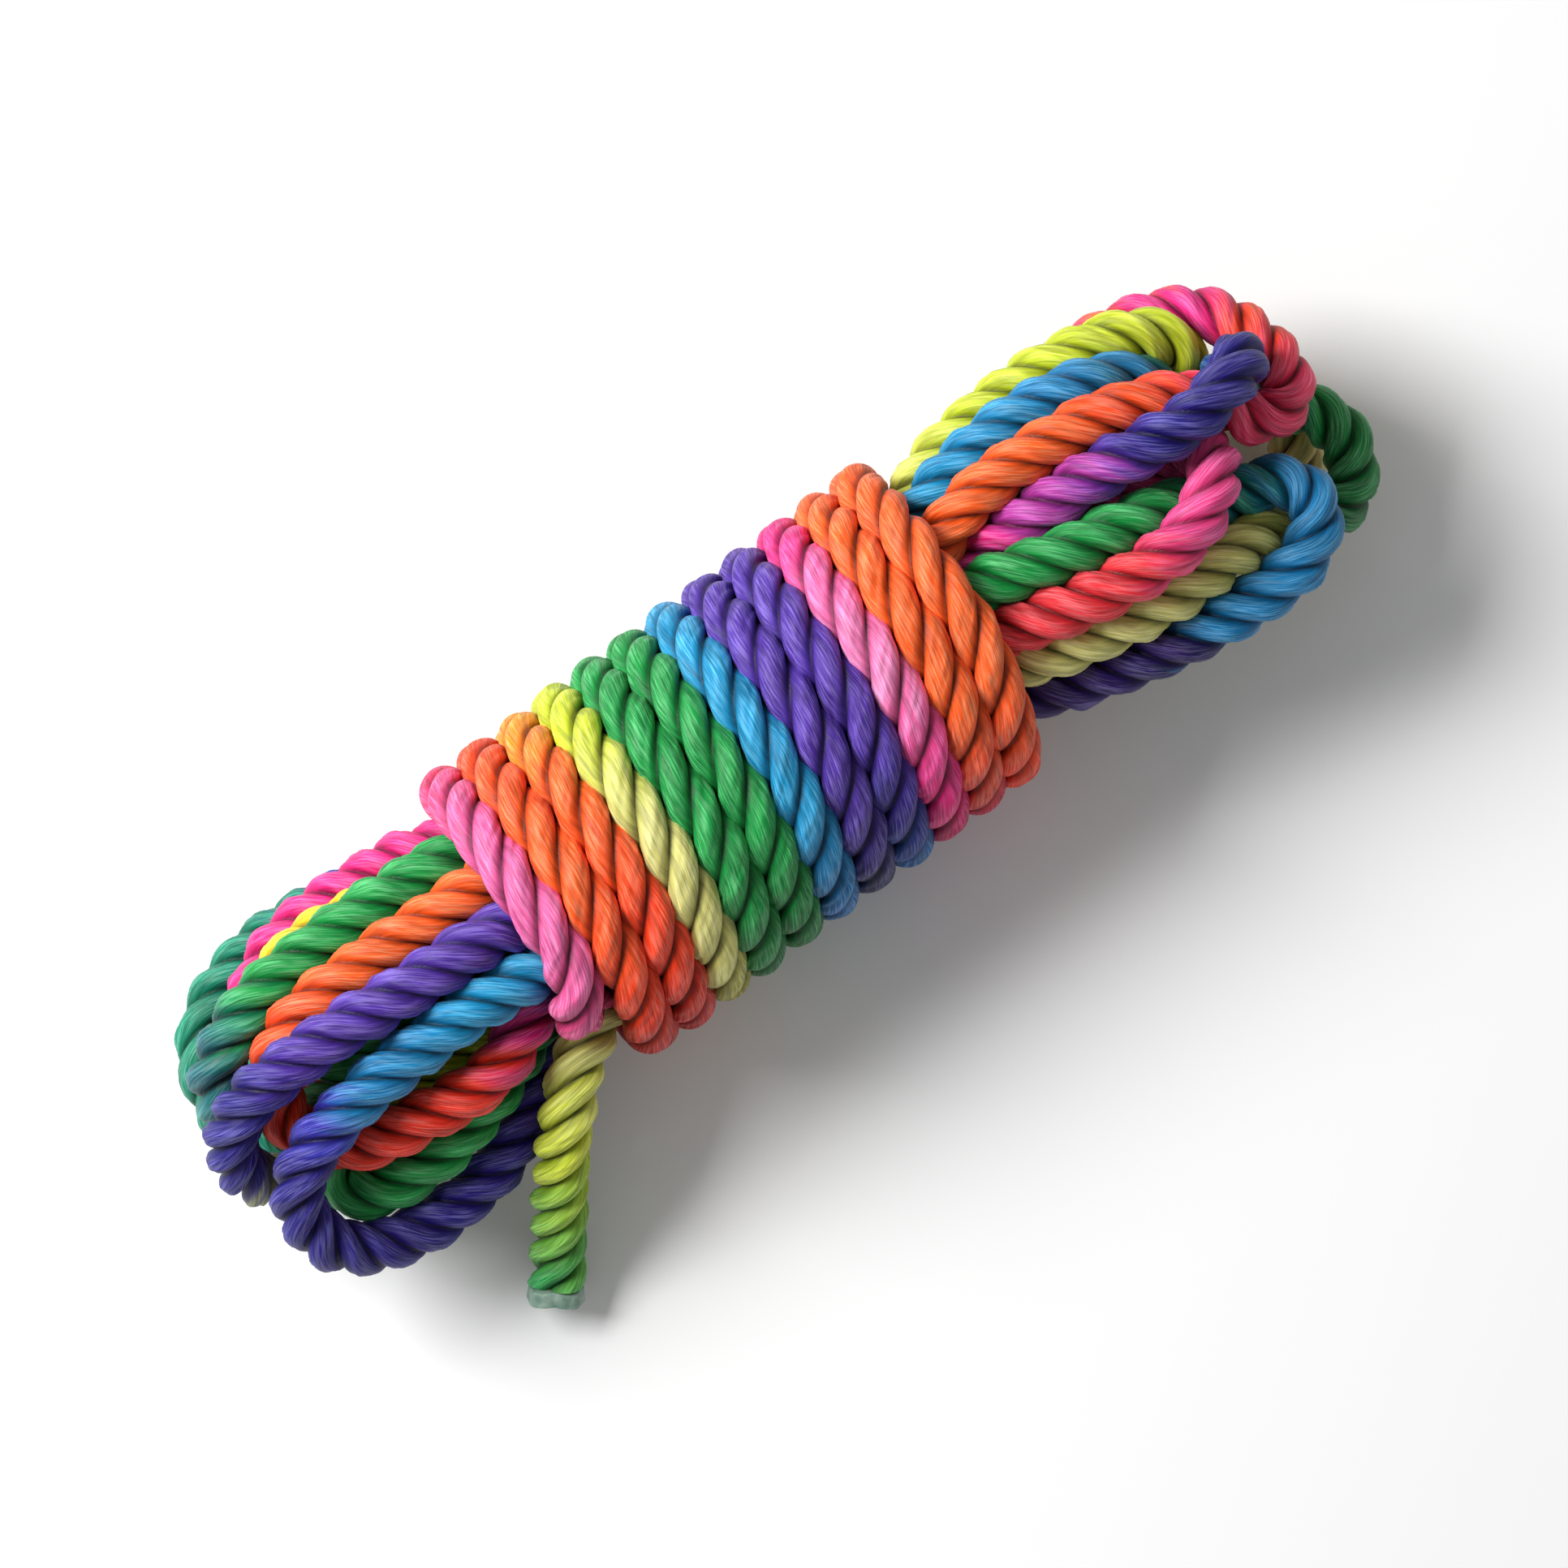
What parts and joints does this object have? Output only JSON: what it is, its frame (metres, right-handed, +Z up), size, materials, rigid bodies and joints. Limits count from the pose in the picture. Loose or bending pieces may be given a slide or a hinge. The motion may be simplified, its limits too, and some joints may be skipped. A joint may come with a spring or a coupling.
{
  "type": "hank of multicoloured rope",
  "caption": "Soft three-strand rope in rainbow colours, folded to and fro into a hank and bound round the waist by its own end; a play and lawn-game rope.",
  "frame": {"origin": "on the ground under the middle of the binding, on the underside of the seventh binding turn", "axes": "+X along the hank towards the end where the binding starts, +Y across it to the far side, +Z up"},
  "size_m": [0.2623, 0.0963, 0.0668],
  "materials": {
    "rope_pink": "soft laid fibre, slight silky sheen",
    "rope_orange": "soft laid fibre, slight silky sheen",
    "rope_yellow": "soft laid fibre, slight silky sheen",
    "rope_green": "soft laid fibre, slight silky sheen",
    "rope_blue": "soft laid fibre, slight silky sheen",
    "rope_violet": "soft laid fibre, slight silky sheen",
    "rope_sealed": "heat-sealed fibre end"
  },
  "bodies": {
    "root": {"right_bight_lime": "rope_yellow", "right_bight_blue": "rope_blue", "right_bight_coral": "rope_orange", "right_bight_violet": "rope_violet", "right_bight_green": "rope_green", "right_bight_rose": "rope_pink", "right_bight_teal": "rope_green", "right_bight_cream": "rope_yellow", "left_bight_blue": "rope_blue", "left_bight_pink": "rope_pink", "left_bight_yellow": "rope_yellow", "left_bight_green": "rope_green", "left_bight_orange": "rope_orange", "left_bight_indigo": "rope_violet", "left_bight_emerald": "rope_green", "left_bight_cyan": "rope_blue", "wrap_lead": "rope_orange", "wrap_end": "rope_pink", "free_end": "rope_yellow", "sealed_tip": "rope_sealed", "wrap_turn_12": "rope_orange", "wrap_turn_11": "rope_orange", "wrap_turn_10": "rope_pink", "wrap_turn_09": "rope_violet", "wrap_turn_08": "rope_violet", "wrap_turn_07": "rope_blue", "wrap_turn_06": "rope_green", "wrap_turn_05": "rope_green", "wrap_turn_04": "rope_yellow", "wrap_turn_03": "rope_orange", "wrap_turn_02": "rope_orange"}
  },
  "joints": []
}
